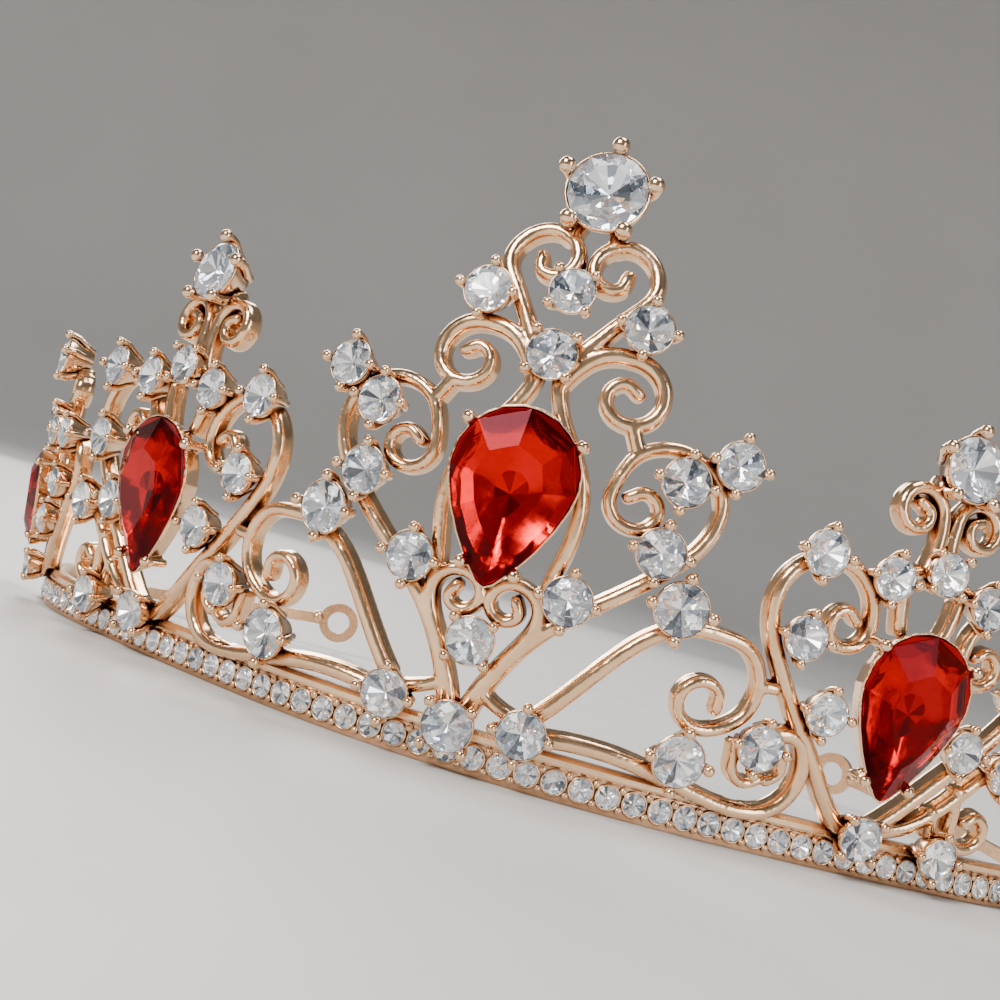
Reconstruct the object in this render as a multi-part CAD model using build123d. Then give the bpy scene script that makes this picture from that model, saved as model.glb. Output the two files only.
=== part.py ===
from build123d import *

import os
from math import atan2, cos, hypot, pi, radians, sin

# A tall open-backed tiara: a stone-set band with a rail on it, five pierced castings that
# carry the settings, and two strips that run to hair-grip loops at the open back.
# Millimetres, +Z up, -Y to the front. The origin is on the band's lower edge, in the middle of
# its thickness at the front.
#
# The castings are drawn on an unrolled sheet and bent round the head:
#   s  distance along the band, 0 at the front, positive to the wearer's left (+X)
#   z  height over the band's lower edge
#   n  distance out from the back of the castings

# ---- driving dimensions -------------------------------------------------------------------
FRONT_RADIUS = 50.0        # the band's plan is three tangent arcs on each side
FRONT_END = 23.0           # s where the front arc ends
SIDE_RADIUS = 175.0
SIDE_END = 60.0            # s where the nearly straight side ends
BACK_RADIUS = 41.0
BAND_END = 92.0            # s where the stone-set band ends
LOOP_S = 147.0             # s of the hair-grip loops
LEAN_OUT = 0.17            # the castings flare out over the band ...
LEAN_IN = 5.6e-5           # ... and lean back in towards their tips
TURN_UP = 0.18             # the most that a wire or a stone faces upwards, as a slope

BAND_HEIGHT = 3.3
BAND_THICK = 1.5
BAND_STONE_R = 1.18
BAND_STONE_PITCH = 2.75
BAND_STONE_Z = 1.85
BAND_GIRDLE = 1.75         # n of the band stones' girdles
COLLAR_WALL = 0.17         # metal round a band stone
COLLAR_RISE = 0.08         # how far a collar stands over its stone's girdle
BEAD_R = 0.36              # beads in the corners between the band's stones
BEAD_RISE = 1.02           # how far over or under the stones' middles they are
RAIL_TOP = 4.6
RAIL_THICK = 1.7
BAND_FRONT = 2.3           # n that nothing on the band passes

WIRE_DEPTH = 2.0           # the castings' depth, front to back
WIRE_MID = 1.0             # n of the middle of a wire
GIRDLE = 3.5               # n of the girdles of the stones in the castings
LOW_GIRDLE = 3.9           # n of those that overlap the band
CREST_GIRDLE = 4.0         # n of the crest stones' girdles
PEAR_GIRDLE = 4.0          # n of the pear stones' girdles
PEAR_FLOOR = 1.8           # n of the back of a pear's tray
RIM = 0.3                  # metal round a stone's girdle
BALL_R = 0.52              # balls on a small setting's claws
CREST_BALL_R = 0.85        # and on the centre crest's
CREST_CLAWS = 5
CUP_BACK = 0.3             # n of the back of a round setting
CLAW_RISE = 0.35           # how far a claw's ball is over the girdle
CLAW_FOOT = 0.5            # how far down its cup a claw's post runs, as a share
CLEAR = 0.03               # play round a stone in its seat
PEAR_BALL = 0.05           # a pear's claw balls, as a share of its width
PEAR_CLAWS = (35, -38)     # degrees round a pear where its claws are, mirrored

# A stone's cut, as shares of its girdle's radius, or of a pear's width.
TABLE = 0.55
CROWN = 0.30
EDGE = 0.08
PAVILION = 0.55
PEAR_CROWN = 0.13
PEAR_EDGE = 0.5
PEAR_PAVILION = 0.13
PEAR_CULET = 0.12          # how far under the round end's middle a pear's back point is
PEAR_SHOULDER = 18         # degrees under its widest place that a pear's sides leave the circle
PEAR_TIP = 0.055           # half the width of a pear's blunt tip, as a share of its width

SIDE_CENTRE = 43.3         # s of the side castings' middles
END_CENTRE = 77.1          # s of the end castings' middles
END_SCALE = 0.72           # the end castings' scrolls against the side ones

TAIL_HEIGHT = 1.7
TAIL_THICK = 1.2
TAIL_LAP = 6.0             # how far a strip laps behind the band's end
TAIL_LIFT = 3.2            # how much higher the loops are than the strips' roots
LOOP_BORE_R = 1.8
LOOP_OUTER_R = 3.2
LOOP_THICK = 1.4
LOOP_BEAD_R = 1.1

# A stone is (s, z, girdle radius). Those in a list of pairs are mirrored.
CENTRE_CREST = (0.0, 60.3, 4.2)
CENTRE_MIDDLE_STONES = [(0.0, 49.0, 2.3), (0.0, 42.3, 2.5), (0.0, 13.7, 2.4), (0.0, 5.0, 2.6)]
CENTRE_PAIRED_STONES = [
    (7.7, 47.2, 2.45), (7.4, 20.0, 2.45), (6.7, 6.2, 2.45), (18.7, 37.0, 2.4), (14.4, 34.0, 2.4),
    (14.0, 26.9, 2.45), (17.2, 22.3, 2.7), (21.3, 8.0, 2.65), (29.0, 11.4, 2.35),
]
SIDE_CREST = (0.0, 44.0, 3.45)
SIDE_MIDDLE_STONES = [(0.0, 33.2, 2.25), (0.0, 5.0, 2.35)]
SIDE_PAIRED_STONES = [
    (6.0, 31.2, 2.25), (14.0, 31.6, 2.35), (13.5, 23.1, 2.25), (8.6, 16.4, 2.25),
]
SIDE_OUTER_STONES = [(15.2, 15.2, 2.2), (10.2, 4.9, 2.2)]
END_CREST = (0.0, 31.7, 2.6)
END_MIDDLE_STONES = [(0.0, 24.3, 1.95), (0.0, 4.7, 1.95)]
END_PAIRED_STONES = [(4.8, 22.4, 1.95), (10.2, 22.4, 1.95), (9.8, 16.2, 1.9), (6.6, 11.3, 1.9)]

# A pear stone is (s, z of its tip, width, height).
CENTRE_PEAR = (0.0, 19.0, 13.0, 18.0)
SIDE_PEAR = (0.0, 9.3, 13.0, 18.0)
END_PEAR = (0.0, 7.3, 9.0, 12.5)


# ---- bending the sheet round the head -----------------------------------------------------
def arc_step(x, y, heading, radius, length):
    """The end of an arc that starts at x, y and turns with the given radius."""
    turned = heading + length / radius
    x_end = x + radius * (sin(turned) - sin(heading))
    y_end = y + radius * (cos(heading) - cos(turned))
    return x_end, y_end, turned


def plan(s):
    """x, y and heading of the band's back face at distance s from the front."""
    length = abs(s)
    x, y, heading = arc_step(0, 0, 0, FRONT_RADIUS, min(length, FRONT_END))
    if length > FRONT_END:
        x, y, heading = arc_step(x, y, heading, SIDE_RADIUS, min(length, SIDE_END) - FRONT_END)
    if length > SIDE_END:
        x, y, heading = arc_step(x, y, heading, BACK_RADIUS, length - SIDE_END)
    side = 1 if s >= 0 else -1
    return side * x, y + BAND_THICK / 2, side * heading


def lean(z):
    """How far out a casting stands at height z, and the slope there."""
    return LEAN_OUT * z - LEAN_IN * z ** 3, LEAN_OUT - 3 * LEAN_IN * z ** 2


def outward(s, z):
    """The way that a wire or a stone faces: square to the sheet, except near the tallest tip."""
    heading = plan(s)[2]
    slope = max(lean(z)[1], -TURN_UP)
    return Vector(sin(heading), -cos(heading), -slope).normalized()


def bend(s, z, n, upright=False):
    """A point of the unrolled sheet in its place. An upright sheet doesn't lean."""
    x, y, heading = plan(s)
    if upright:
        return Vector(x + n * sin(heading), y - n * cos(heading), z)
    out = lean(z)[0]
    foot = Vector(x + out * sin(heading), y - out * cos(heading), z)
    return foot + outward(s, z) * n


def seat_plane(s, z, n, upright=False):
    """A plane on the sheet: local x runs along it, local y up it and local z out of it."""
    heading = plan(s)[2]
    along = Vector(cos(heading), sin(heading), 0)
    facing = Vector(sin(heading), -cos(heading), 0) if upright else outward(s, z)
    return Plane(origin=bend(s, z, n, upright), x_dir=along, z_dir=facing)


# ---- wires --------------------------------------------------------------------------------
SAMPLE_STEP = 1.2          # mm between the sections that a wire is lofted through

# Half of a wire's section as shares of its half-width and half-depth: a flat back, a flange,
# a slight groove along the side and a domed front.
SECTION = [(0, -1), (0.80, -0.93), (1.0, -0.45), (0.86, 0.0), (0.84, 0.45), (0.55, 0.88), (0, 1)]

# A free end is rounded by two smaller sections: how far past the end, and their size.
TIP_SECTIONS = ((0.45, 0.86), (0.68, 0.45))

SLIVER = 0.5               # mm3 under which a solid is only a cut's crumb


def curl(s, z, r_start, r_end, start, end, step=30):
    """Points of a spiral about s, z, from one angle to another in degrees."""
    count = max(2, round(abs(end - start) / step))
    points = []
    for i in range(count + 1):
        part = i / count
        angle = radians(start + (end - start) * part)
        r = r_start + (r_end - r_start) * part
        points.append((s + r * cos(angle), z + r * sin(angle)))
    return points


def moved(points, ds, scale, flip):
    """Points scaled, mirrored where flip is -1, and shifted along the band."""
    return [(flip * s * scale + ds, z * scale) for s, z in points]


def rounded_path(points):
    """A smooth curve through the points, sampled evenly."""
    curve = Edge.make_spline([Vector(s, z, 0) for s, z in points])
    count = max(4, round(curve.length / SAMPLE_STEP))
    samples = [curve.position_at(i / count) for i in range(count + 1)]
    return [(p.X, p.Y) for p in samples]


def section_points(half_width, half_depth):
    right = [(half_width * a, half_depth * b) for a, b in SECTION]
    left = [(-a, b) for a, b in reversed(right[1:-1])]
    return right + left


def section_shares():
    """How far round the unit section each of its points is, ending at 1 on the first one."""
    ring = section_points(1, 1)
    gaps = [hypot(c - a, d - b) for (a, b), (c, d) in zip(ring, ring[1:] + ring[:1])]
    return [sum(gaps[:i]) / sum(gaps) for i in range(len(gaps) + 1)]


# All sections share these, which keeps the lofted surfaces light.
SECTION_SHARES = section_shares()


def wire(points, w_start, w_end, free=False):
    """A cast wire along points of the sheet. Its width tapers, and a free end is rounded."""
    path = rounded_path(points)
    places = [bend(s, z, WIRE_MID) for s, z in path]
    normals = [outward(s, z) for s, z in path]
    last = len(path) - 1
    sizes = [(w_start + (w_end - w_start) * i / last, WIRE_DEPTH) for i in range(last + 1)]
    tangents = []
    for i in range(last + 1):
        step = places[min(i + 1, last)] - places[max(i - 1, 0)]
        tangents.append(step.normalized())
    if free:
        for reach, share in TIP_SECTIONS:
            places.append(places[last] + tangents[last] * (reach * w_end))
            tangents.append(tangents[last])
            normals.append(normals[last])
            sizes.append((w_end * share, WIRE_DEPTH * share))
    sections = []
    for place, tangent, normal, (width, deep) in zip(places, tangents, normals, sizes):
        across = tangent.cross(normal).normalized()
        up = across.cross(tangent)
        ring = [place + across * a + up * b for a, b in section_points(width / 2, deep / 2)]
        edge = Edge.make_spline(ring, periodic=True, parameters=SECTION_SHARES)
        sections.append(Wire([edge]))
    return Solid.make_loft(sections)


# ---- stones -------------------------------------------------------------------------------
def planar_solid(rings, tip=None):
    """A closed solid of flat faces through rings of points, ending in a tip if there is one."""
    faces = [Face(Wire.make_polygon(rings[0], close=True))]
    count = len(rings[0])
    for low, high in zip(rings, rings[1:]):
        for i in range(count):
            j = (i + 1) % count
            faces.append(Face(Wire.make_polygon([low[i], low[j], high[j], high[i]], close=True)))
    if tip is None:
        faces.append(Face(Wire.make_polygon(rings[-1], close=True)))
    else:
        for i in range(count):
            j = (i + 1) % count
            faces.append(Face(Wire.make_polygon([rings[-1][i], rings[-1][j], tip], close=True)))
    return Solid(Shell(faces))


def cut_stone(outline, crown, edge, pavilion, plane):
    """A stone with the outline's corners round its girdle, a flat table and a pointed back."""
    def ring(scale, height):
        return [plane.from_local_coords((a * scale, b * scale, height)) for a, b in outline]

    rings = [ring(TABLE, crown), ring(1.0, edge / 2), ring(1.0, -edge / 2)]
    tip = plane.from_local_coords((0, 0, -pavilion))
    return planar_solid(rings, tip)


def round_outline(r, corners):
    step = 2 * pi / corners
    return [(r * cos(step * (i + 0.5)), r * sin(step * (i + 0.5))) for i in range(corners)]


def round_stone(stone, girdle_n, corners=8):
    s, z, r = stone
    plane = seat_plane(s, z, girdle_n)
    return cut_stone(round_outline(r, corners), CROWN * r, EDGE * r, PAVILION * r, plane)


def band_stone(s):
    r = BAND_STONE_R
    plane = seat_plane(s, BAND_STONE_Z, BAND_GIRDLE, upright=True)
    return cut_stone(round_outline(r, 8), CROWN * r, EDGE * r, PAVILION * r, plane)


def pear_side(width, height):
    """The pear's round end, flatter side and tip: radii, the side's centre, the tip's corner."""
    r = width / 2
    tip = (PEAR_TIP * width, -(height - r - 0.45 * PEAR_TIP * width))
    across = cos(radians(PEAR_SHOULDER))
    lift = sin(radians(PEAR_SHOULDER))
    spare = r - tip[0] * across + tip[1] * lift
    reach = (tip[0] ** 2 + tip[1] ** 2 - r ** 2) / (2 * spare)
    centre = (-reach * across, reach * lift)
    return r, r + reach, centre, tip


def pear_outline(width, height, grow=0.0, round_corners=7, side_corners=4):
    """Corners of the pear about the middle of its round end, with the blunt tip at the bottom."""
    r, side_r, centre, tip = pear_side(width, height)
    start = atan2(tip[1] - centre[1], tip[0] - centre[0])
    end = -radians(PEAR_SHOULDER)
    half = [(0.0, r - height - grow)]
    for i in range(side_corners):
        angle = start + (end - start) * i / side_corners
        reach = side_r + grow
        half.append((centre[0] + reach * cos(angle), centre[1] + reach * sin(angle)))
    for i in range(round_corners):
        angle = radians(-PEAR_SHOULDER + (90 + PEAR_SHOULDER) * i / (round_corners - 0.5))
        half.append(((r + grow) * cos(angle), (r + grow) * sin(angle)))
    other = [(-a, b) for a, b in reversed(half[1:])]
    return half + other


def pear_plane(pear, n):
    """A plane square to the sheet at the pear's middle, with its origin on the round end."""
    s, tip_z, width, height = pear
    middle = seat_plane(s, tip_z + height / 2, n)
    centre = middle.from_local_coords((0, (height - width) / 2, 0))
    return Plane(centre, x_dir=middle.x_dir, z_dir=middle.z_dir)


def pear_stone(pear):
    s, tip_z, width, height = pear
    plane = pear_plane(pear, PEAR_GIRDLE)
    # The back's facets run to a point between the round end's centre and the tip.
    down = PEAR_CULET * height
    outline = [(a, b + down) for a, b in pear_outline(width, height)]
    middle = plane.from_local_coords((0, -down, 0))
    centred = Plane(middle, x_dir=plane.x_dir, z_dir=plane.z_dir)
    return cut_stone(outline, PEAR_CROWN * width, PEAR_EDGE, PEAR_PAVILION * width, centred)


# ---- settings -----------------------------------------------------------------------------
def claw(ball_r, foot, place):
    """A post with a ball end, by a stone whose girdle is at z = 0."""
    post = Solid.make_cylinder(0.7 * ball_r, foot + CLAW_RISE, Plane((*place, -foot)))
    ball = Solid.make_sphere(ball_r, Plane((*place, CLAW_RISE)))
    return post.fuse(ball).solid()


def claws_round(r, ball_r, foot, turn, count):
    out = r + ball_r + CLEAR
    angles = [radians(turn + 360 / count * i) for i in range(count)]
    return [claw(ball_r, foot, (out * cos(a), out * sin(a))) for a in angles]


def cup(r, reach):
    """The metal under a round stone: a cone from the casting's back up to the girdle's rim."""
    return Solid.make_cone(0.62 * r, r + RIM, reach, Plane((0, 0, -reach)))


def seat(r):
    """What a round stone takes out of its cup: its girdle's cylinder and the cone behind."""
    wide = r + CLEAR
    rest = EDGE * r / 2 + CLEAR
    depth = (PAVILION + 0.02) * wide
    cone = Solid.make_cone(0.05, wide, depth, Plane((0, 0, -rest - depth)))
    return cone.fuse(Solid.make_cylinder(wide, r, Plane((0, 0, -rest)))).solid()


def setting(stone, girdle_n, turn, ball_r=None, count=4):
    """A round stone's cup with its seat and its claws, in one solid, in its place."""
    s, z, r = stone
    reach = girdle_n - CUP_BACK
    ball_r = ball_r or BALL_R * min(1.0, r / 2.2)
    claws = claws_round(r, ball_r, CLAW_FOOT * reach, turn, count)
    whole = cup(r, reach).fuse(*claws).cut(seat(r))
    return whole.solid().moved(seat_plane(s, z, girdle_n).location)


def pear_claws(pear, deep):
    """Ball-ended claws on short arms round a pear's tray."""
    s, tip_z, width, height = pear
    r, side_r, centre, tip = pear_side(width, height)
    ball_r = PEAR_BALL * width
    pieces = []
    for angle in PEAR_CLAWS:
        on_round_end = angle > -PEAR_SHOULDER
        about = (0, 0) if on_round_end else centre
        far = (r if on_round_end else side_r) + ball_r + CLEAR
        x = about[0] + far * cos(radians(angle))
        y = about[1] + far * sin(radians(angle))
        for flip in (1, -1):
            pieces.append(claw(ball_r, deep, (flip * x, y)))
            reach = 0.3 * width
            root = (flip * x - flip * reach * cos(radians(angle)), y - reach * sin(radians(angle)))
            along = (flip * x - root[0], y - root[1], 0)
            start = Plane((root[0], root[1], -0.75 * deep), z_dir=along)
            pieces.append(Solid.make_cylinder(0.6 * ball_r, reach, start))
    return pieces


def pear_tray(pear):
    """A pear's tray: its wall follows the outline, and four ball-ended claws stand by it."""
    s, tip_z, width, height = pear
    deep = PEAR_GIRDLE - PEAR_FLOOR
    rest = PEAR_EDGE / 2 + CLEAR
    down = PEAR_CULET * height

    def ring(grow, scale, level):
        outline = pear_outline(width, height, grow)
        return [Vector(a * scale, (b + down) * scale - down, level) for a, b in outline]

    tray = planar_solid([ring(RIM, 1, 0.1), ring(RIM, 0.9, -deep)])
    culet = Vector(0, -down, -rest - PEAR_PAVILION * width - CLEAR)
    hollow = planar_solid([ring(CLEAR, 1, 1), ring(CLEAR, 1, -rest)], culet)
    whole = tray.fuse(*pear_claws(pear, deep)).cut(hollow)
    return whole.solid().moved(pear_plane(pear, PEAR_GIRDLE).location)


def crest_setting(stone):
    """A crest stone's cup, with one of its claws at the top."""
    ball_r = CREST_BALL_R * stone[2] / CENTRE_CREST[2]
    return setting(stone, CREST_GIRDLE, 90, ball_r, CREST_CLAWS)


# ---- the band -----------------------------------------------------------------------------
def swept(corners, s_start, s_end):
    """A prism with the given corners (n, z), run along the band from one s to another."""
    joints = [s for s in (-SIDE_END, -FRONT_END, FRONT_END, SIDE_END) if s_start < s < s_end]
    stops = [s_start] + joints + [s_end]
    edges = []
    for a, b in zip(stops, stops[1:]):
        points = [bend(s, 0, 0, upright=True) for s in (a, (a + b) / 2, b)]
        edges.append(Edge.make_three_point_arc(*points))
    profile = [bend(s_start, z, n, upright=True) for n, z in corners]
    return Solid.sweep(Face(Wire.make_polygon(profile, close=True)), Wire(edges))


def band_envelope(s_start, s_end):
    """The space that the band, the rail and the band's stones take up."""
    corners = [(-1.5, -1), (BAND_FRONT, -1), (BAND_FRONT, RAIL_TOP), (-1.5, RAIL_TOP)]
    return swept(corners, s_start, s_end)


def band_stops():
    """s of every stone on the band."""
    count = int((BAND_END - 1.5) / BAND_STONE_PITCH)
    return [BAND_STONE_PITCH * i for i in range(-count, count + 1)]


def stone_band():
    """The band: a strip with a low collar round each stone and a bead in each gap's corners."""
    corners = [(0, 0), (BAND_THICK, 0), (BAND_THICK, BAND_HEIGHT), (0, BAND_HEIGHT)]
    body = swept(corners, -BAND_END, BAND_END)
    collars = []
    seats = []
    beads = []
    collar_start = BAND_THICK - 0.4
    collar_length = BAND_GIRDLE + COLLAR_RISE - collar_start
    for s in band_stops():
        root = seat_plane(s, BAND_STONE_Z, collar_start, upright=True)
        collars.append(Solid.make_cylinder(BAND_STONE_R + COLLAR_WALL, collar_length, root))
        girdle = seat_plane(s, BAND_STONE_Z, BAND_GIRDLE, upright=True)
        seats.append(seat(BAND_STONE_R).moved(girdle.location))
    for s in band_stops()[:-1]:
        for side in (1, -1):
            z = BAND_STONE_Z + side * BEAD_RISE
            root = seat_plane(s + BAND_STONE_PITCH / 2, z, collar_start, upright=True)
            beads.append(Solid.make_cylinder(BEAD_R, collar_length, root))
    return body.fuse(*collars, *beads).cut(*seats)


def rail():
    """The plain rail on the band's top edge, with its front corners eased."""
    low, high, front = BAND_HEIGHT, RAIL_TOP, RAIL_THICK
    corners = [(0, low), (front - 0.15, low), (front, low + 0.35), (front, high - 0.45),
               (front - 0.3, high), (0, high)]
    return swept(corners, -BAND_END, BAND_END)


def tail(flip):
    """The strip from one end of the band to its hair-grip loop, with a bead at its root."""
    start_s = BAND_END - TAIL_LAP
    end_s = LOOP_S - LOOP_OUTER_R + 0.6
    start_z = BAND_HEIGHT / 2
    end_z = start_z + TAIL_LIFT
    behind = -CLEAR
    half = TAIL_HEIGHT / 2
    sections = []
    count = 12
    for i in range(count + 1):
        part = i / count
        s = flip * (start_s + (end_s - start_s) * part)
        z = start_z + TAIL_LIFT * part ** 2
        corners = [(behind - TAIL_THICK, z - half), (behind, z - half), (behind, z + half),
                   (behind - TAIL_THICK, z + half)]
        ring = [bend(s, b, a, upright=True) for a, b in corners]
        sections.append(Wire.make_polygon(ring, close=True))
    strip = Solid.make_loft(sections)
    back = seat_plane(flip * LOOP_S, end_z, behind - TAIL_THICK - 0.1, upright=True)
    disc = Solid.make_cylinder(LOOP_OUTER_R, LOOP_THICK, back)
    root_s = LOOP_S - LOOP_OUTER_R - 0.4
    bead_place = bend(flip * root_s, end_z, behind - TAIL_THICK / 2, upright=True)
    bead = Solid.make_sphere(LOOP_BEAD_R, Plane(bead_place))
    bore = Solid.make_cylinder(LOOP_BORE_R, 4 * LOOP_THICK, back.offset(-LOOP_THICK))
    return strip.fuse(disc, bead).cut(bore)


# ---- the castings' scrollwork -------------------------------------------------------------
def centre_wires():
    """The right side of the centre casting's scrolls."""
    heart = [(1.6, 42.4), (3.5, 45.4), (6.0, 49.0)] + curl(3.4, 52.5, 4.15, 0.95, -10, 350)
    crest_stem = [(1.7, 58.3), (2.0, 56.6), (2.4, 54.8)]
    scroll = [(1.2, 39.8), (2.3, 42.0), (4.4, 44.0)] + curl(7.6, 40.6, 4.0, 0.95, 100, -310)
    upper_stub = [(8.6, 38.2), (9.2, 37.0), (9.8, 35.8)]
    ring = curl(13.3, 32.1, 5.5, 4.6, -25, 170) + curl(11.2, 30.6, 2.7, 1.2, 190, 500)
    branch = [(0.9, 5.0), (2.8, 10.8), (6.0, 16.0), (10.8, 20.8), (15.3, 25.2)] + ring
    low_heart = [(0.5, 5.0), (2.0, 10.0), (4.0, 13.8)] + curl(2.4, 17.6, 2.9, 0.8, -15, 400)
    pear_arm = [(1.2, 40.2), (2.6, 36.4), (5.2, 32.2), (6.3, 27.6), (6.0, 24.0), (5.4, 20.8),
                (5.3, 18.2), (5.6, 16.2)]
    low_scroll = [(7.3, 7.6), (10.2, 11.4), (12.8, 15.2), (16.0, 18.9), (19.2, 20.6)]
    low_scroll += curl(22.9, 16.2, 4.6, 4.8, 95, -62) + curl(22.4, 14.0, 2.8, 1.5, -95, -368)
    lower_stub = [(21.1, 11.9), (21.2, 10.9), (21.3, 9.9)]
    bottom_arm = [(7.6, 5.7), (12.0, 6.3), (16.5, 6.2), (20.3, 5.6), (23.6, 4.9), (26.6, 4.3)]
    bottom_arm += curl(30.4, 9.1, 5.0, 4.9, -92, 48) + [(31.4, 12.8), (29.4, 12.0)]
    inner_curl = [(27.4, 11.0)] + curl(29.7, 9.0, 2.4, 1.6, 170, 310)
    outer_curl = [(31.2, 12.2), (32.6, 10.4), (32.8, 9.0), (31.9, 8.0)]
    tie = [(2.2, 8.6), (4.0, 7.6), (6.0, 7.0)]
    bridge = [(27.0, 17.0), (28.3, 17.1), (29.6, 17.2)]
    return [
        wire(heart, 1.7, 1.35, free=True),
        wire(crest_stem, 1.5, 1.5),
        wire(scroll, 1.9, 1.2, free=True),
        wire(upper_stub, 1.5, 1.5),
        wire(branch, 1.7, 1.15, free=True),
        wire(low_heart, 1.5, 1.15, free=True),
        wire(pear_arm, 1.6, 1.5),
        wire(low_scroll, 1.7, 1.1, free=True),
        wire(lower_stub, 1.4, 1.4),
        wire(bottom_arm, 1.7, 1.6),
        wire(inner_curl, 1.3, 1.0, free=True),
        wire(outer_curl, 1.3, 1.0, free=True),
        wire(tie, 1.3, 1.3),
        wire(bridge, 1.4, 1.2),
    ]


def side_wires(centre, flip, scale, outer):
    """One side of a side or end casting's scrolls. outer adds the scroll by the outer stones."""
    slim = 0.5 + scale / 2

    def run(points, w_start, w_end, **more):
        placed = moved(points, centre, scale, flip)
        return wire(placed, w_start * slim, w_end * slim, **more)

    ring = curl(11.4, 25.9, 5.6, 5.5, -15, 175) + curl(8.7, 25.4, 2.7, 1.15, 190, 500)
    branch = [(1.3, 4.9), (4.6, 7.9), (7.4, 11.2), (10.4, 14.6), (14.2, 19.4)] + ring
    stem = [(2.4, 26.0), (3.1, 28.4), (3.4, 31.0)]
    crest_scroll = [(1.6, 32.4), (0.85, 35.6)] + curl(3.9, 38.6, 3.05, 0.9, 185, -260)
    crest_stem = [(2.5, 40.6), (2.1, 41.7), (1.7, 42.8)]
    top_link = [(9.0, 31.2), (10.6, 31.5), (12.4, 31.6)]
    stone_link = [(2.2, 33.0), (4.0, 32.2), (6.0, 31.4)]
    ring_link = [(7.2, 28.0), (6.6, 29.4), (6.2, 30.6)]
    wires = [
        run(branch, 1.9, 1.15, free=True),
        run(stem, 1.5, 1.5),
        run(crest_scroll, 1.6, 1.1, free=True),
        run(crest_stem, 1.3, 1.3),
        run(top_link, 1.2, 1.2),
        run(stone_link, 1.2, 1.2),
        run(ring_link, 1.2, 1.2),
    ]
    if outer:
        arm = [(1.3, 5.6), (7.6, 7.4), (11.2, 10.8), (14.4, 14.4)]
        hook = [(11.4, 12.2), (11.6, 10.6)] + curl(14.9, 8.2, 3.0, 1.1, 165, 500)
        foot = [(8.9, 9.4), (9.5, 7.8), (10.0, 6.2)]
        wires.append(run(arm, 1.6, 1.5))
        wires.append(run(foot, 1.3, 1.3))
        wires.append(run(hook, 1.5, 1.1, free=True))
    return wires


# ---- the castings -------------------------------------------------------------------------
def both_sides(stones):
    return [(flip * s, z, r) for s, z, r in stones for flip in (1, -1)]


def shifted(stones, ds):
    return [(s + ds, z, r) for s, z, r in stones]


def girdle_of(stone):
    """Stones near the band stand further out, to clear the band's own stones."""
    s, z, r = stone
    return LOW_GIRDLE if z - r < BAND_HEIGHT + 0.4 else GIRDLE


def settings(stones, centre=0):
    """The stones' settings. Claws stand square to the sheet, or turned on its middle line."""
    return [setting(stone, girdle_of(stone), 45 if stone[0] == centre else 0) for stone in stones]


def boxes_touch(one, other):
    a = one.bounding_box()
    b = other.bounding_box()
    spans = zip(a.min, a.max, b.min, b.max)
    return all(low_a < high_b and low_b < high_a for low_a, high_a, low_b, high_b in spans)


def trimmed(pieces, tools):
    """A casting: its wires and settings run into each other, and stop at the tools' faces."""
    kept = []
    for piece in pieces:
        near = [tool for tool in tools if boxes_touch(piece, tool)]
        kept += piece.cut(*near).solids() if near else [piece]
    return Compound(children=kept)


def centre_casting(tools):
    half = centre_wires() + settings(CENTRE_PAIRED_STONES)
    other = [piece.mirror(Plane.YZ) for piece in half]
    middle = settings(CENTRE_MIDDLE_STONES)
    return trimmed(half + other + middle, [band_envelope(-45, 45)] + tools)


def side_casting(centre, scale, stones, outer, tools):
    wires = side_wires(centre, 1, scale, outer) + side_wires(centre, -1, scale, False)
    reach = 24 * scale
    envelope = band_envelope(centre - reach, centre + reach)
    return trimmed(wires + settings(stones, centre), [envelope] + tools)


# ---- the nodes ----------------------------------------------------------------------------
class Panel:
    """One casting's stones and pear in their places on the sheet."""

    def __init__(self, centre, stones, crest, pear):
        self.stones = shifted(stones, centre)
        self.crest = shifted([crest], centre)[0]
        self.pear = (pear[0] + centre,) + pear[1:]


def centre_panel():
    stones = CENTRE_MIDDLE_STONES + both_sides(CENTRE_PAIRED_STONES)
    return Panel(0, stones, CENTRE_CREST, CENTRE_PEAR)


def side_panel():
    stones = SIDE_MIDDLE_STONES + both_sides(SIDE_PAIRED_STONES) + SIDE_OUTER_STONES
    return Panel(SIDE_CENTRE, stones, SIDE_CREST, SIDE_PEAR)


def end_panel():
    stones = END_MIDDLE_STONES + both_sides(END_PAIRED_STONES)
    return Panel(END_CENTRE, stones, END_CREST, END_PEAR)


def write_node(name, shape):
    """Write the node's solids, without slivers that a cut may leave."""
    solids = [solid for solid in shape.solids() if solid.volume > SLIVER]
    export_step(Compound(children=solids), f"parts/{name}.step")


def write_pair(names, shape):
    """Write a shape of the wearer's left and its mirror image on the right."""
    write_node(names[0], shape)
    write_node(names[1], shape.mirror(Plane.YZ))


def group(solids):
    return Compound(children=solids)


def write_panel(names, panel, casting):
    """Write one casting's nodes. names holds the casting's name, or both sides' names."""
    def write(ending, shape):
        nodes = [f"{name}_{ending}" for name in names]
        if len(nodes) == 2:
            write_pair(nodes, shape)
        else:
            write_node(nodes[0], shape)

    crest_cup = crest_setting(panel.crest)
    tray = pear_tray(panel.pear)
    stones = [round_stone(stone, girdle_of(stone)) for stone in panel.stones]
    write("frame", casting([crest_cup, tray]))
    write("crest_cup", crest_cup)
    write("crest_stone", round_stone(panel.crest, CREST_GIRDLE, 12))
    write("pear_setting", tray)
    write("pear_stone", pear_stone(panel.pear))
    write("round_stones", group(stones))


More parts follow.
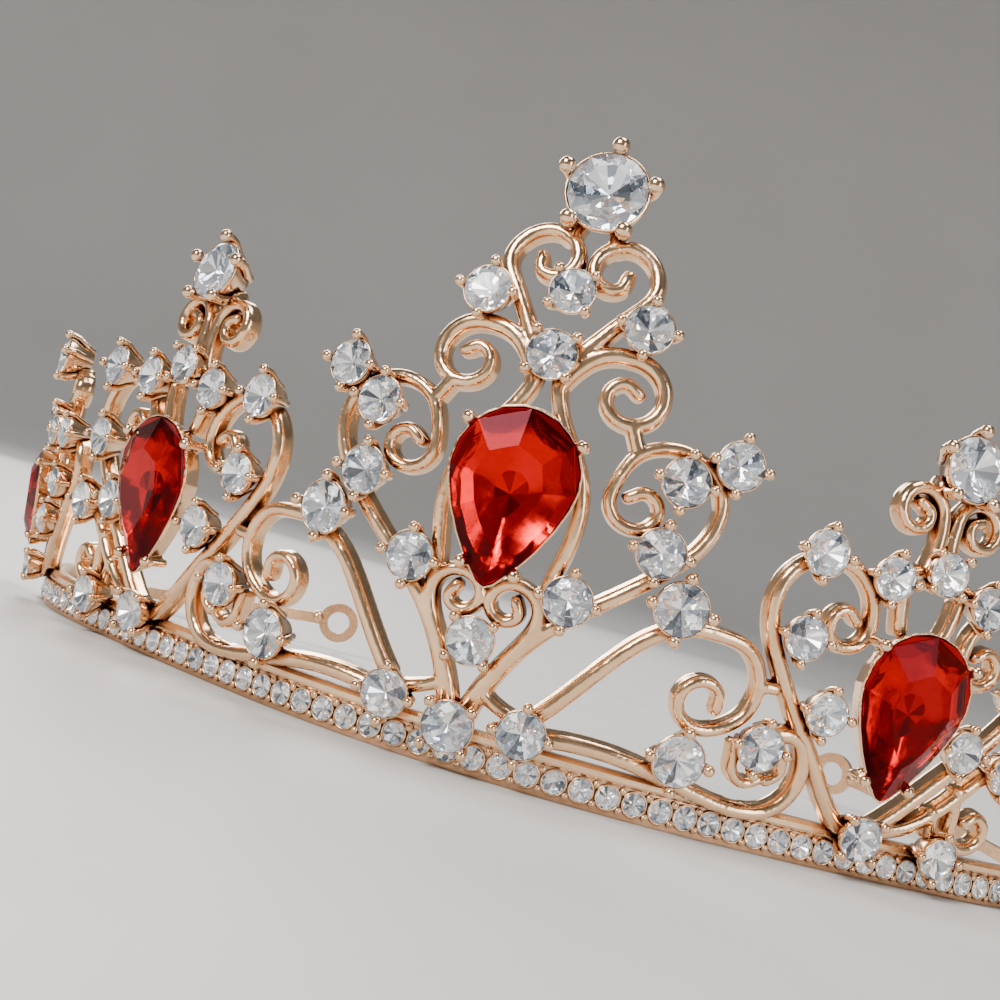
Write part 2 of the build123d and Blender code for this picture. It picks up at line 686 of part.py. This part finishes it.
def main():
    os.makedirs("parts", exist_ok=True)
    side = side_panel()
    end = end_panel()
    write_node("stone_band", stone_band())
    write_node("base_rail", rail())
    write_node("band_stones", group([band_stone(s) for s in band_stops()]))
    write_pair(["left_tail", "right_tail"], tail(1))
    write_panel(["centre"], centre_panel(), centre_casting)
    write_panel(["left", "right"], side,
                lambda tools: side_casting(SIDE_CENTRE, 1, side.stones, True, tools))
    write_panel(["left_end", "right_end"], end,
                lambda tools: side_casting(END_CENTRE, END_SCALE, end.stones, False, tools))


if __name__ == "__main__":
    main()
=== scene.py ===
import math
import random

import bmesh
import bpy
from mathutils import Matrix, Vector


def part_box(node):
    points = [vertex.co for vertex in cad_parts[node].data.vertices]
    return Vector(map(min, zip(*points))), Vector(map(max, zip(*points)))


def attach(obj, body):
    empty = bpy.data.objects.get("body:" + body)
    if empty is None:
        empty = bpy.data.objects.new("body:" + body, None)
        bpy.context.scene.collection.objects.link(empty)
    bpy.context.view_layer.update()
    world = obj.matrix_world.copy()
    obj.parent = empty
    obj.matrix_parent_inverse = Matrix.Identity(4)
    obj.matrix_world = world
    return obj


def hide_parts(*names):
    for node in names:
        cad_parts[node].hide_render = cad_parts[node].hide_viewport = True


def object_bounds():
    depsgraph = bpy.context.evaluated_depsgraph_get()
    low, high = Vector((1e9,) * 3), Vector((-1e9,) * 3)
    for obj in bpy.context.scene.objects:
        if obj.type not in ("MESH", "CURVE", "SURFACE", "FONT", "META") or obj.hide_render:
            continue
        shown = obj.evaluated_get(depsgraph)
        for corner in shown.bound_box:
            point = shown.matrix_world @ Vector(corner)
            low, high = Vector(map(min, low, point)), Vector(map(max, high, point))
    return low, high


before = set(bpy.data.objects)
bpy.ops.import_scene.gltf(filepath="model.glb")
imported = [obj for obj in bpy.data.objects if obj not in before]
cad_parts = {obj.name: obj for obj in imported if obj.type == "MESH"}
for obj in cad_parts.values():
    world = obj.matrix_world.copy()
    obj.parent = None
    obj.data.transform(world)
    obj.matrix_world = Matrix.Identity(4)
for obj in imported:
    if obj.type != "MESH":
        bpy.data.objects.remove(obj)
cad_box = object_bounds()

MM = 0.001
PANELS = ("centre", "left", "right", "left_end", "right_end")

WIRE_VOXEL = 0.21 * MM     # the castings' wires are melted together at this size
WIRE_PASSES = 4            # softened this often
WIRE_SWELL = 0.17 * MM     # and given back the thickness that softening takes
MOUNT_VOXEL = 0.15 * MM    # the same for the pears' trays
MOUNT_PASSES = 3
MOUNT_SWELL = 0.05 * MM
STONE_REACH = 3.2 * MM     # how far the stones' girdles are in front of a casting's back
CREST_REACH = 3.5 * MM     # and the crest stones'
CREST_CLAWS = 5
TIP_CROWDING = 0.45        # how much closer a pear's corners are to each other at its tip

# Shares of a round stone's radius.
BACK_SHARE = 0.62          # a cup's radius at its back
RIM_OUT = 0.07             # how far a cup's rim is outside the stone
CLAW_BALL = 0.235          # a claw ball's radius
CREST_BALL = 0.22          # a crest claw ball's radius
SETTING_REACH = 1.75       # a stone's cup and claws keep within this of its middle


# ---- reading the frame --------------------------------------------------------------------
def islands(name):
    """The separate closed solids of a node, each a list of its faces, with the mesh."""
    bm = bmesh.new()
    bm.from_mesh(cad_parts[name].data)
    bmesh.ops.remove_doubles(bm, verts=bm.verts, dist=0.001 * MM)
    seen = set()
    parts = []
    for seed in bm.faces:
        if seed in seen:
            continue
        seen.add(seed)
        stack = [seed]
        part = []
        while stack:
            face = stack.pop()
            part.append(face)
            for edge in face.edges:
                for other in edge.link_faces:
                    if other not in seen:
                        seen.add(other)
                        stack.append(other)
        parts.append(part)
    return bm, parts


def corners_of(part):
    return {vert for face in part for vert in face.verts}


def facing_of(part):
    """The normal of a stone's table, which is its largest flat face."""
    areas = {}
    for face in part:
        key = tuple(round(c, 2) for c in face.normal)
        areas.setdefault(key, []).append((face.calc_area(), face.normal.copy()))
    best = max(areas.values(), key=lambda faces: sum(area for area, normal in faces))
    return max(best, key=lambda pair: pair[0])[1].normalized()


class Stone:
    """A stone's place: its girdle's middle, axes along, up and out, and its radius."""

    def __init__(self, part):
        self.out = facing_of(part)
        self.along = Vector((0, 0, 1)).cross(self.out).normalized()
        self.up = self.out.cross(self.along)
        points = [vert.co.copy() for vert in corners_of(part)]
        back = min(points, key=lambda p: p.dot(self.out))
        spread = [(p - back) - self.out * (p - back).dot(self.out) for p in points]
        self.radius = max(offset.length for offset in spread)
        ring = [p for p, offset in zip(points, spread) if offset.length > 0.97 * self.radius]
        level = sum((p - back).dot(self.out) for p in ring) / len(ring)
        self.centre = back + self.out * level

    def place(self, x, y, z):
        return self.centre + self.along * x + self.up * y + self.out * z


def stones_of(name):
    bm, parts = islands(name)
    stones = [Stone(part) for part in parts]
    bm.free()
    return stones


# ---- building meshes ----------------------------------------------------------------------
class Builder:
    """Collects faces for one mesh, with a material index for each."""

    def __init__(self):
        self.points = []
        self.faces = []
        self.indices = []

    def add(self, points, *groups):
        """Faces over the points. The first group has the first material, and so on."""
        base = len(self.points)
        self.points += [tuple(p) for p in points]
        for index, faces in enumerate(groups):
            self.faces += [[base + i for i in face] for face in faces]
            self.indices += [index] * len(faces)

    def rings(self, rings, caps=True):
        """A skin over closed rings of points."""
        count = len(rings[0])
        points = [p for ring in rings for p in ring]
        faces = []
        for row in range(len(rings) - 1):
            for i in range(count):
                j = (i + 1) % count
                a = row * count
                b = a + count
                faces.append([a + i, a + j, b + j, b + i])
        if caps:
            top = (len(rings) - 1) * count
            faces.append(list(range(count))[::-1])
            faces.append(list(range(top, top + count)))
        self.add(points, faces)

    def ball(self, centre, radius, out, rows=10, count=18):
        side = out.orthogonal().normalized()
        other = out.cross(side)
        rings = []
        for row in range(1, rows):
            angle = math.pi * row / rows
            level = centre - out * (radius * math.cos(angle))
            size = radius * math.sin(angle)
            ring = []
            for i in range(count):
                turn = 2 * math.pi * i / count
                ring.append(level + side * (size * math.cos(turn)) + other * (size * math.sin(turn)))
            rings.append(ring)
        self.rings(rings)

    def mesh(self, name):
        mesh = bpy.data.meshes.new(name)
        mesh.from_pydata(self.points, [], self.faces)
        mesh.polygons.foreach_set("material_index", self.indices)
        mesh.update()
        return mesh


def finished(mesh, name, nodes, materials, smooth):
    """A piece of the crown from a mesh: it rides on the root and stands for CAD nodes."""
    piece = bpy.data.objects.new(name, mesh)
    bpy.context.scene.collection.objects.link(piece)
    for material in materials:
        mesh.materials.append(material)
    mesh.polygons.foreach_set("use_smooth", [smooth] * len(mesh.polygons))
    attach(piece, "root")
    if nodes:
        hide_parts(*nodes)
    return piece


def melted(mesh, voxel, passes, swelling):
    """The mesh's solids run together, with soft fillets where they meet."""
    helper = bpy.data.objects.new("melting", mesh)
    bpy.context.scene.collection.objects.link(helper)
    remesh = helper.modifiers.new("remesh", "REMESH")
    remesh.mode = "VOXEL"
    remesh.voxel_size = voxel
    remesh.adaptivity = 0
    soften = helper.modifiers.new("soften", "SMOOTH")
    soften.factor = 0.5
    soften.iterations = passes
    swell = helper.modifiers.new("swell", "DISPLACE")
    swell.mid_level = 0
    swell.strength = swelling
    graph = bpy.context.evaluated_depsgraph_get()
    result = bpy.data.meshes.new_from_object(helper.evaluated_get(graph))
    bpy.data.objects.remove(helper)
    result.materials.clear()
    return result


def joined_meshes(meshes, name):
    bm = bmesh.new()
    for mesh in meshes:
        bm.from_mesh(mesh)
    result = bpy.data.meshes.new(name)
    bm.to_mesh(result)
    bm.free()
    return result


# ---- settings -----------------------------------------------------------------------------
def add_cup(builder, stone, deep, segments=40):
    """A turned cup behind a stone, with a rounded rim that stands just over its girdle."""
    r = stone.radius
    rim = RIM_OUT * r
    profile = [
        (BACK_SHARE * r * 0.86, -deep), (BACK_SHARE * r, -deep + 0.14 * MM),
        (0.80 * r, -0.52 * deep), (r + 0.8 * rim, -0.16 * deep), (r + rim, -0.06 * r),
        (r + rim, -0.01 * r), (r + 0.72 * rim, 0.03 * r), (r + 0.3 * rim, 0.03 * r),
        (r + 0.01 * r, 0.0), (r + 0.01 * r, -0.07 * r), (0.5 * r, -0.36 * r),
        (0.05 * r, -0.60 * r),
    ]
    rings = []
    for radius, level in profile:
        ring = []
        for i in range(segments):
            turn = 2 * math.pi * i / segments
            ring.append(stone.place(radius * math.cos(turn), radius * math.sin(turn), level))
        rings.append(ring)
    builder.rings(rings)


def add_claws(builder, stone, deep, turn, count, ball):
    """Prongs up the outside of a cup, each ending in a ball on the stone's edge."""
    r = stone.radius
    for k in range(count):
        angle = math.radians(turn + 360 / count * k)
        direction = stone.along * math.cos(angle) + stone.up * math.sin(angle)
        across = stone.out.cross(direction)
        stations = [
            (0.66 * r, -deep + 0.05 * MM, 0.62), (0.86 * r, -0.62 * deep, 0.74),
            (r + 0.55 * ball, -0.3 * deep, 0.78), (r + 0.92 * ball, -0.02 * deep, 0.74),
            (r + 0.94 * ball, 0.10 * r, 0.66),
        ]
        rings = []
        for reach, level, share in stations:
            middle = stone.centre + direction * reach + stone.out * level
            ring = []
            for i in range(12):
                a = 2 * math.pi * i / 12
                offset = direction * math.cos(a) + across * math.sin(a)
                ring.append(middle + offset * (ball * share))
            rings.append(ring)
        builder.rings(rings)
        top = stone.centre + direction * (r + 0.84 * ball) + stone.out * (0.16 * r)
        builder.ball(top, ball, stone.out)


def casting(panel, gold):
    """A casting: its wires melted together, with turned cups and claws for its stones.

    The stones on the casting's middle line have their claws turned by 45 degrees.
    """
    stones = stones_of(panel + "_round_stones")
    bm, parts = islands(panel + "_frame")
    middle = sum((stone.centre for stone in stones), Vector()) / len(stones)
    front = min(stones, key=lambda stone: (stone.centre - middle).cross(Vector((0, 0, 1))).length)
    settings = []
    for part in parts:
        points = [vert.co for vert in corners_of(part)]
        for stone in stones:
            reach = SETTING_REACH * stone.radius
            if all(off_axis(stone, point) < reach for point in points):
                settings += part
                break
    bmesh.ops.delete(bm, geom=settings, context="FACES")
    wires = bpy.data.meshes.new(panel + "_wires")
    bm.to_mesh(wires)
    bm.free()
    body = melted(wires, WIRE_VOXEL, WIRE_PASSES, WIRE_SWELL)
    builder = Builder()
    for stone in stones:
        off = (stone.centre - front.centre).dot(front.along)
        turn = 45 if abs(off) < 0.4 * stone.radius else 0
        deep = 0.94 * STONE_REACH
        add_cup(builder, stone, deep)
        add_claws(builder, stone, deep, turn, 4, CLAW_BALL * stone.radius)
    whole = joined_meshes([body, builder.mesh(panel + "_cups")], panel + "_casting")
    return finished(whole, panel + "_casting", [panel + "_frame"], [gold], True)


def off_axis(stone, point):
    offset = point - stone.centre
    return (offset - stone.out * offset.dot(stone.out)).length


def crest_mount(panel, gold):
    stone = stones_of(panel + "_crest_stone")[0]
    builder = Builder()
    add_cup(builder, stone, CREST_REACH, segments=56)
    add_claws(builder, stone, CREST_REACH, 90, CREST_CLAWS, CREST_BALL * stone.radius)
    mesh = builder.mesh(panel + "_crest_mount")
    name = panel + "_crest_mount"
    return finished(mesh, name, [panel + "_crest_cup"], [gold], True)


def pear_mount(panel, gold):
    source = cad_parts[panel + "_pear_setting"].data.copy()
    mesh = melted(source, MOUNT_VOXEL, MOUNT_PASSES, MOUNT_SWELL)
    name = panel + "_pear_mount"
    return finished(mesh, name, [panel + "_pear_setting"], [gold], True)


# ---- stones -------------------------------------------------------------------------------
def ring_points(stone, radius, level, count, phase):
    points = []
    for i in range(count):
        turn = 2 * math.pi * (i + phase) / count
        points.append(stone.place(radius * math.cos(turn), radius * math.sin(turn), level))
    return points


def add_brilliant(builder, stone, spin):
    """A round brilliant: table, stars, kites and girdle facets over a back of narrow blades."""
    r = stone.radius
    table = ring_points(stone, 0.60 * r, 0.30 * r, 8, spin)
    stars = ring_points(stone, 0.82 * r, 0.18 * r, 8, spin + 0.5)
    upper = ring_points(stone, r, 0.045 * r, 16, 2 * spin)
    lower = ring_points(stone, r, -0.04 * r, 16, 2 * spin)
    backs = ring_points(stone, 0.70 * r, -0.235 * r, 8, spin + 0.5)
    culet = stone.place(0, 0, -0.54 * r)
    points = table + stars + upper + lower + backs + [culet]
    # Where each ring starts in the list of points, and last the culet.
    t, s, u, w, b, c = 0, 8, 16, 32, 48, 56
    crown = [list(range(8))]
    back = []
    for k in range(8):
        n = (k + 1) % 8
        before = (k - 1) % 8
        crown.append([t + k, s + k, t + n])
        crown.append([t + k, s + before, u + 2 * k, s + k])
        crown.append([s + k, u + 2 * k, u + 2 * k + 1])
        crown.append([s + k, u + 2 * k + 1, u + (2 * k + 2) % 16])
        back.append([c, b + k, w + 2 * k, b + before])
        back.append([b + k, w + 2 * k + 1, w + 2 * k])
        back.append([b + k, w + (2 * k + 2) % 16, w + 2 * k + 1])
    for i in range(16):
        j = (i + 1) % 16
        crown.append([u + i, w + i, w + j, u + j])
    builder.add(points, crown, back)


def brilliants(node, name, crystal, foil, seed):
    shuffle = random.Random(seed)
    builder = Builder()
    for stone in stones_of(node):
        add_brilliant(builder, stone, shuffle.random())
    return finished(builder.mesh(name), name, [node], [crystal, foil], False)


def outline_of(part, out):
    """A pear's girdle as a loop of points from its tip round, and its culet and table level."""
    points = [vert.co.copy() for vert in corners_of(part)]
    back = min(points, key=lambda p: p.dot(out))
    along = Vector((0, 0, 1)).cross(out).normalized()
    up = out.cross(along)
    flat = [((p - back).dot(along), (p - back).dot(up), (p - back).dot(out)) for p in points]
    far = {}
    for x, y, z in flat:
        key = round(math.degrees(math.atan2(y, x)))
        if key not in far or math.hypot(x, y) > math.hypot(*far[key][:2]):
            far[key] = (x, y, z)
    reach = max(math.hypot(x, y) for x, y, z in far.values())
    loop = sorted((p for p in far.values() if math.hypot(*p[:2]) > 0.3 * reach),
                  key=lambda p: math.atan2(p[0], -p[1]))
    return back, along, up, loop, max(z for x, y, z in flat)


def sampled(loop, count, scale):
    """Points round a closed loop from its lowest point on, and closer to each other there."""
    start = min(range(len(loop)), key=lambda i: loop[i][1])
    ring = [loop[(start + i) % len(loop)][:2] for i in range(len(loop))]
    ring.append(ring[0])
    lengths = [0.0]
    for (a, b), (c, d) in zip(ring, ring[1:]):
        lengths.append(lengths[-1] + math.hypot(c - a, d - b))
    picked = []
    for k in range(count):
        turn = 2 * math.pi * k / count
        target = lengths[-1] * (turn - TIP_CROWDING * math.sin(turn)) / (2 * math.pi)
        i = max(n for n in range(len(ring) - 1) if lengths[n] <= target + 1e-12)
        part = (target - lengths[i]) / (lengths[i + 1] - lengths[i])
        x = ring[i][0] + part * (ring[i + 1][0] - ring[i][0])
        y = ring[i][1] + part * (ring[i + 1][1] - ring[i][1])
        picked.append((x * scale, y * scale))
    return picked


def pear_gem(panel, crystal, foil):
    """A pear: a pear-shaped table, a row of broad crown facets and a stepped back."""
    node = panel + "_pear_stone"
    bm, parts = islands(node)
    out = facing_of(parts[0])
    back, along, up, loop, depth = outline_of(parts[0], out)
    bm.free()
    girdle_level = sum(z for x, y, z in loop) / len(loop)
    crown = depth - girdle_level

    def ring(count, scale, level):
        return [back + along * x + up * y + out * level for x, y in sampled(loop, count, scale)]

    n = 12
    table = ring(n, 0.56, depth)
    upper = ring(2 * n, 1.0, girdle_level + 0.1 * crown)
    lower = ring(2 * n, 1.0, girdle_level - 0.1 * crown)
    steps = ring(n, 0.66, 0.40 * girdle_level)
    inner = ring(n, 0.30, 0.12 * girdle_level)
    builder = Builder()
    points = table + upper + lower + steps + inner + [back + out * 0.02 * depth]
    # Where each ring starts in the list of points, and last the culet.
    t, u, w, m, b, c = 0, n, 3 * n, 5 * n, 6 * n, 7 * n
    front = [list(range(n))]
    rear = []
    for k in range(n):
        after = (k + 1) % n
        one, two, three = 2 * k, 2 * k + 1, (2 * k + 2) % (2 * n)
        front.append([t + k, u + one, u + three, t + after])
        front.append([u + one, u + two, u + three])
        rear.append([m + k, m + after, w + three, w + one])
        rear.append([w + one, w + three, w + two])
        rear.append([b + k, b + after, m + after, m + k])
        rear.append([c, b + after, b + k])
    for i in range(2 * n):
        j = (i + 1) % (2 * n)
        front.append([u + i, w + i, w + j, u + j])
    builder.add(points, front, rear)
    mesh = builder.mesh(panel + "_pear_gem")
    return finished(mesh, panel + "_pear_gem", [node], [crystal, foil], False)


# ---- the band -----------------------------------------------------------------------------
def band_trim(gold):
    """Rounded collars round the band's stones, and the beads between them."""
    stones = stones_of("band_stones")
    stones.sort(key=lambda stone: math.atan2(stone.centre.x, -stone.centre.y))
    builder = Builder()
    for stone in stones:
        r = stone.radius
        profile = [(1.02, -0.30), (1.14, -0.30), (1.17, 0.02), (1.12, 0.1), (1.05, 0.1),
                   (1.01, 0.04), (1.02, -0.30)]
        rings = [ring_points(stone, a * r, b * r, 28, 0) for a, b in profile]
        builder.rings(rings, caps=False)
    for one, two in zip(stones, stones[1:]):
        r = one.radius
        out = (one.out + two.out).normalized()
        middle = (one.centre + two.centre) / 2 - out * (0.1 * r)
        for side in (1, -1):
            builder.ball(middle + Vector((0, 0, side * 0.86 * r)), 0.33 * r, out, 8, 14)
    mesh = builder.mesh("band_trim")
    return finished(mesh, "band_trim", [], [gold], True)


# ---- materials ----------------------------------------------------------------------------
class Graph:
    """Short calls for making a material's nodes."""

    def __init__(self, name):
        self.material = bpy.data.materials.new(name)
        self.material.use_nodes = True
        self.tree = self.material.node_tree
        self.shader = self.tree.nodes["Principled BSDF"]
        coordinates = self.tree.nodes.new("ShaderNodeTexCoord")
        self.place = coordinates.outputs["Object"]

    def set(self, **values):
        for name, value in values.items():
            self.shader.inputs[name.replace("_", " ")].default_value = value

    def link(self, source, target):
        self.tree.links.new(source, target)

    def noise(self, scale, detail=3.0, roughness=0.55):
        node = self.tree.nodes.new("ShaderNodeTexNoise")
        node.inputs["Scale"].default_value = scale
        node.inputs["Detail"].default_value = detail
        node.inputs["Roughness"].default_value = roughness
        self.link(self.place, node.inputs["Vector"])
        return node.outputs["Fac"]

    def facets(self, scale):
        """A value that is the same all over a flat facet, and differs from facet to facet."""
        geometry = self.tree.nodes.new("ShaderNodeNewGeometry")
        node = self.tree.nodes.new("ShaderNodeTexNoise")
        node.inputs["Scale"].default_value = scale
        node.inputs["Detail"].default_value = 1.0
        self.link(geometry.outputs["True Normal"], node.inputs["Vector"])
        return node.outputs["Fac"]

    def ramp(self, factor, stops):
        node = self.tree.nodes.new("ShaderNodeValToRGB")
        elements = node.color_ramp.elements
        while len(elements) < len(stops):
            elements.new(0.5)
        for element, (position, colour) in zip(elements, stops):
            element.position = position
            element.color = (*colour, 1)
        self.link(factor, node.inputs["Fac"])
        return node.outputs["Color"]

    def span(self, factor, low, high):
        node = self.tree.nodes.new("ShaderNodeMapRange")
        node.inputs["From Min"].default_value = 0.3
        node.inputs["From Max"].default_value = 0.7
        node.inputs["To Min"].default_value = low
        node.inputs["To Max"].default_value = high
        self.link(factor, node.inputs["Value"])
        return node.outputs["Result"]

    def mix(self, factor, one, two, mode="MIX"):
        node = self.tree.nodes.new("ShaderNodeMix")
        node.data_type = "RGBA"
        node.blend_type = mode
        if isinstance(factor, float):
            node.inputs["Factor"].default_value = factor
        else:
            self.link(factor, node.inputs["Factor"])
        for value, socket in ((one, node.inputs[6]), (two, node.inputs[7])):
            if isinstance(value, tuple):
                socket.default_value = (*value, 1)
            else:
                self.link(value, socket)
        return node.outputs[2]

    def bump(self, height, strength, distance):
        node = self.tree.nodes.new("ShaderNodeBump")
        node.inputs["Strength"].default_value = strength
        node.inputs["Distance"].default_value = distance
        self.link(height, node.inputs["Height"])
        previous = self.shader.inputs["Normal"].links
        if previous:
            self.link(previous[0].from_socket, node.inputs["Normal"])
        self.link(node.outputs["Normal"], self.shader.inputs["Normal"])

    def hollows(self, distance):
        node = self.tree.nodes.new("ShaderNodeAmbientOcclusion")
        node.samples = 6
        node.inputs["Distance"].default_value = distance
        return node.outputs["AO"]


def gold_material(name, light, deep, rough_low, rough_high, wave, grain):
    """Plated metal: tone drifts along a piece, and painted shade darkens the hollows."""
    g = Graph(name)
    g.set(Metallic=1.0)
    tone = g.ramp(g.noise(260.0, 3.0), [(0.32, deep), (0.68, light)])
    worn = g.mix(g.noise(1500.0, 4.0), tone, tuple(min(1.0, c * 1.06) for c in light))
    # Painted shade: ambient occlusion darkens the base colour towards deep brown in hollows and between
    # parts.
    painted_shade = g.ramp(g.hollows(1.3 * MM), [(0.25, (0.26, 0.13, 0.07)), (0.85, (1.0, 1.0, 1.0))])
    g.link(g.mix(1.0, worn, painted_shade, "MULTIPLY"), g.shader.inputs["Base Color"])
    g.link(g.span(g.noise(700.0, 4.0), rough_low, rough_high), g.shader.inputs["Roughness"])
    g.bump(g.noise(420.0, 2.0), wave, 0.25 * MM)
    g.bump(g.noise(5200.0, 2.0), grain, 0.03 * MM)
    return g.material


def crystal_material(name, colour, shaded_facet_tone, ior, mirrored):
    """The front of a stone: clear faceted glass with the faintest smears, its facets painted lighter or
    darker as painted light and shade.
    """
    g = Graph(name)
    g.set(IOR=ior, Specular_Tint=(*mirrored, 1), Transmission_Weight=1.0)
    # Painted shade: facets facing some ways get the darker tone, the others the glass's full colour.
    g.link(g.ramp(g.facets(9.0), [(0.42, shaded_facet_tone), (0.56, colour)]), g.shader.inputs["Base Color"])
    g.link(g.span(g.noise(900.0, 3.0), 0.0, 0.012), g.shader.inputs["Roughness"])
    return g.material


def foil_material(name, stops, rough, strength):
    """The foiled back of a stone: mirror facets painted in dark to bright tones as painted reflections
    and glints, which also glow in those tones as painted light.
    """
    g = Graph(name)
    # Painted light: the foil glows through emission in its facet colours, though it is no lamp.
    g.set(Metallic=1.0, Emission_Strength=strength)
    # Painted reflections: each facet gets a tone keyed to its direction, from dark to bright.
    colour = g.ramp(g.facets(13.0), stops)
    g.link(colour, g.shader.inputs["Base Color"])
    g.link(colour, g.shader.inputs["Emission Color"])
    g.link(g.span(g.noise(1200.0, 2.0), 0.5 * rough, rough), g.shader.inputs["Roughness"])
    return g.material


def floor_material():
    g = Graph("floor_paint")
    g.link(g.ramp(g.noise(3.0, 2.0), [(0.3, (0.62, 0.60, 0.58)), (0.7, (0.66, 0.64, 0.62))]),
           g.shader.inputs["Base Color"])
    g.link(g.span(g.noise(40.0, 3.0), 0.5, 0.62), g.shader.inputs["Roughness"])
    return g.material


# ---- the crown ----------------------------------------------------------------------------
def build_crown():
    cast = gold_material("cast_gold", (0.93, 0.62, 0.37), (0.77, 0.45, 0.24), 0.11, 0.24, 0.35, 0.25)
    bright = gold_material("setting_gold", (0.94, 0.64, 0.40), (0.80, 0.48, 0.27), 0.10, 0.20, 0.25, 0.2)
    plated = gold_material("band_gold", (0.93, 0.63, 0.39), (0.78, 0.47, 0.26), 0.15, 0.28, 0.2, 0.3)
    # The tails' gold has a rougher, grainier finish, and a darker colour than the band's gold, which is
    # painted shade.
    shaded_satin = gold_material("tail_gold", (0.80, 0.51, 0.30), (0.60, 0.35, 0.19), 0.20, 0.34, 0.2, 0.45)
    # Each glass's second colour is the painted shade tone of its darker facets.
    clear = crystal_material("clear_glass", (1.0, 1.0, 1.0), (0.96, 0.97, 0.98), 1.55, (1.0, 1.0, 1.0))
    red = crystal_material("red_glass", (0.84, 0.004, 0.010), (0.34, 0.001, 0.004), 1.45,
                           (0.42, 0.05, 0.08))
    # Foil tones per facet are painted reflections from dark to bright, with painted glints at the top
    # (warm white, and orange for the red foil); the last number is the strength of their painted glow.
    glowing_silver_foil = foil_material("silver_foil", [
        (0.36, (0.16, 0.18, 0.21)), (0.45, (0.70, 0.74, 0.80)), (0.53, (1.0, 1.0, 1.0)),
        (0.66, (1.0, 0.96, 0.88)),
    ], 0.03, 0.30)
    glowing_red_foil = foil_material("red_foil", [
        (0.36, (0.13, 0.001, 0.003)), (0.47, (0.42, 0.003, 0.006)), (0.56, (0.70, 0.006, 0.010)),
        (0.66, (0.85, 0.02, 0.012)), (0.74, (1.0, 0.22, 0.02)),
    ], 0.05, 0.12)
    for index, panel in enumerate(PANELS):
        casting(panel, cast)
        crest_mount(panel, bright)
        pear_mount(panel, bright)
        pear_gem(panel, red, glowing_red_foil)
        brilliants(panel + "_round_stones", panel + "_round_gems",
                   clear, glowing_silver_foil, 10 + index)
        brilliants(panel + "_crest_stone", panel + "_crest_gem",
                   clear, glowing_silver_foil, 20 + index)
    brilliants("band_stones", "band_gems", clear, glowing_silver_foil, 30)
    band_trim(plated)
    for node, material in (("stone_band", plated), ("base_rail", plated), ("left_tail", shaded_satin),
                           ("right_tail", shaded_satin)):
        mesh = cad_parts[node].data
        mesh.materials.clear()
        mesh.materials.append(material)


# ---- floor, light and camera --------------------------------------------------------------
def build_floor():
    """A pale floor that turns up into a wall far away on every side."""
    profile = [(0.4, 0.0), (0.8, 0.0), (1.1, 0.0), (1.4, 0.03), (1.7, 0.13), (1.9, 0.33),
               (2.02, 0.7), (2.1, 1.4)]
    bm = bmesh.new()
    count = 96
    rings = []
    for radius, level in profile:
        ring = []
        for i in range(count):
            a = 2 * math.pi * i / count
            ring.append(bm.verts.new((radius * math.cos(a), radius * math.sin(a), level)))
        rings.append(ring)
    bm.faces.new(rings[0])
    for low, high in zip(rings, rings[1:]):
        for i in range(count):
            j = (i + 1) % count
            bm.faces.new((low[i], high[i], high[j], low[j]))
    mesh = bpy.data.meshes.new("floor")
    bm.to_mesh(mesh)
    bm.free()
    mesh.polygons.foreach_set("use_smooth", [True] * len(mesh.polygons))
    floor = bpy.data.objects.new("floor", mesh)
    bpy.context.scene.collection.objects.link(floor)
    floor.location.z = cad_box[0][2] - 0.05 * MM
    mesh.materials.append(floor_material())


def area_light(name, place, target, size, power, colour):
    light = bpy.data.lights.new(name, "AREA")
    light.shape = "RECTANGLE"
    light.size, light.size_y = size
    light.energy = power
    light.color = colour
    lamp = bpy.data.objects.new(name, light)
    bpy.context.scene.collection.objects.link(lamp)
    lamp.location = place
    lamp.rotation_euler = (Vector(target) - Vector(place)).to_track_quat("-Z", "Y").to_euler()


def build_lights():
    middle = (Vector(cad_box[0]) + Vector(cad_box[1])) / 2
    area_light("key", (-0.45, -0.75, 0.75), middle, (0.45, 0.45), 15, (1.0, 0.98, 0.95))
    area_light("fill", (0.8, -0.6, 0.35), middle, (0.3, 0.7), 4, (0.95, 0.97, 1.0))
    area_light("top", (0.1, 0.1, 1.0), middle, (0.6, 0.4), 8, (1.0, 1.0, 1.0))
    area_light("rim", (-0.5, 0.8, 0.5), middle, (0.5, 0.4), 7, (1.0, 0.98, 0.96))
    world = bpy.data.worlds.new("studio")
    world.use_nodes = True
    background = world.node_tree.nodes["Background"]
    background.inputs["Color"].default_value = (0.85, 0.87, 0.9, 1)
    background.inputs["Strength"].default_value = 0.16
    bpy.context.scene.world = world


def build_camera():
    """The camera close to the front, turned a little to the wearer's left and rolled."""
    azimuth = math.radians(11.32)
    elevation = math.radians(-2.44)
    roll = math.radians(16.28)
    front = Vector(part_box("stone_band")[0]).y
    target = Vector((-2.2 * MM, front + 2.0 * MM, 27.7 * MM))
    back = Vector((math.sin(azimuth) * math.cos(elevation),
                   -math.cos(azimuth) * math.cos(elevation), math.sin(elevation)))
    right = (-back).cross(Vector((0, 0, 1))).normalized()
    up = right.cross(-back)
    across = right * math.cos(roll) + up * math.sin(roll)
    above = -right * math.sin(roll) + up * math.cos(roll)
    data = bpy.data.cameras.new("camera")
    data.lens = 56.8
    data.sensor_width = 36
    data.clip_start = 0.005
    camera = bpy.data.objects.new("camera", data)
    bpy.context.scene.collection.objects.link(camera)
    turn = Matrix((across, above, back)).transposed().to_4x4()
    camera.matrix_world = Matrix.Translation(target + back * 162.5 * MM) @ turn
    bpy.context.scene.camera = camera


build_crown()
build_floor()
build_lights()
build_camera()
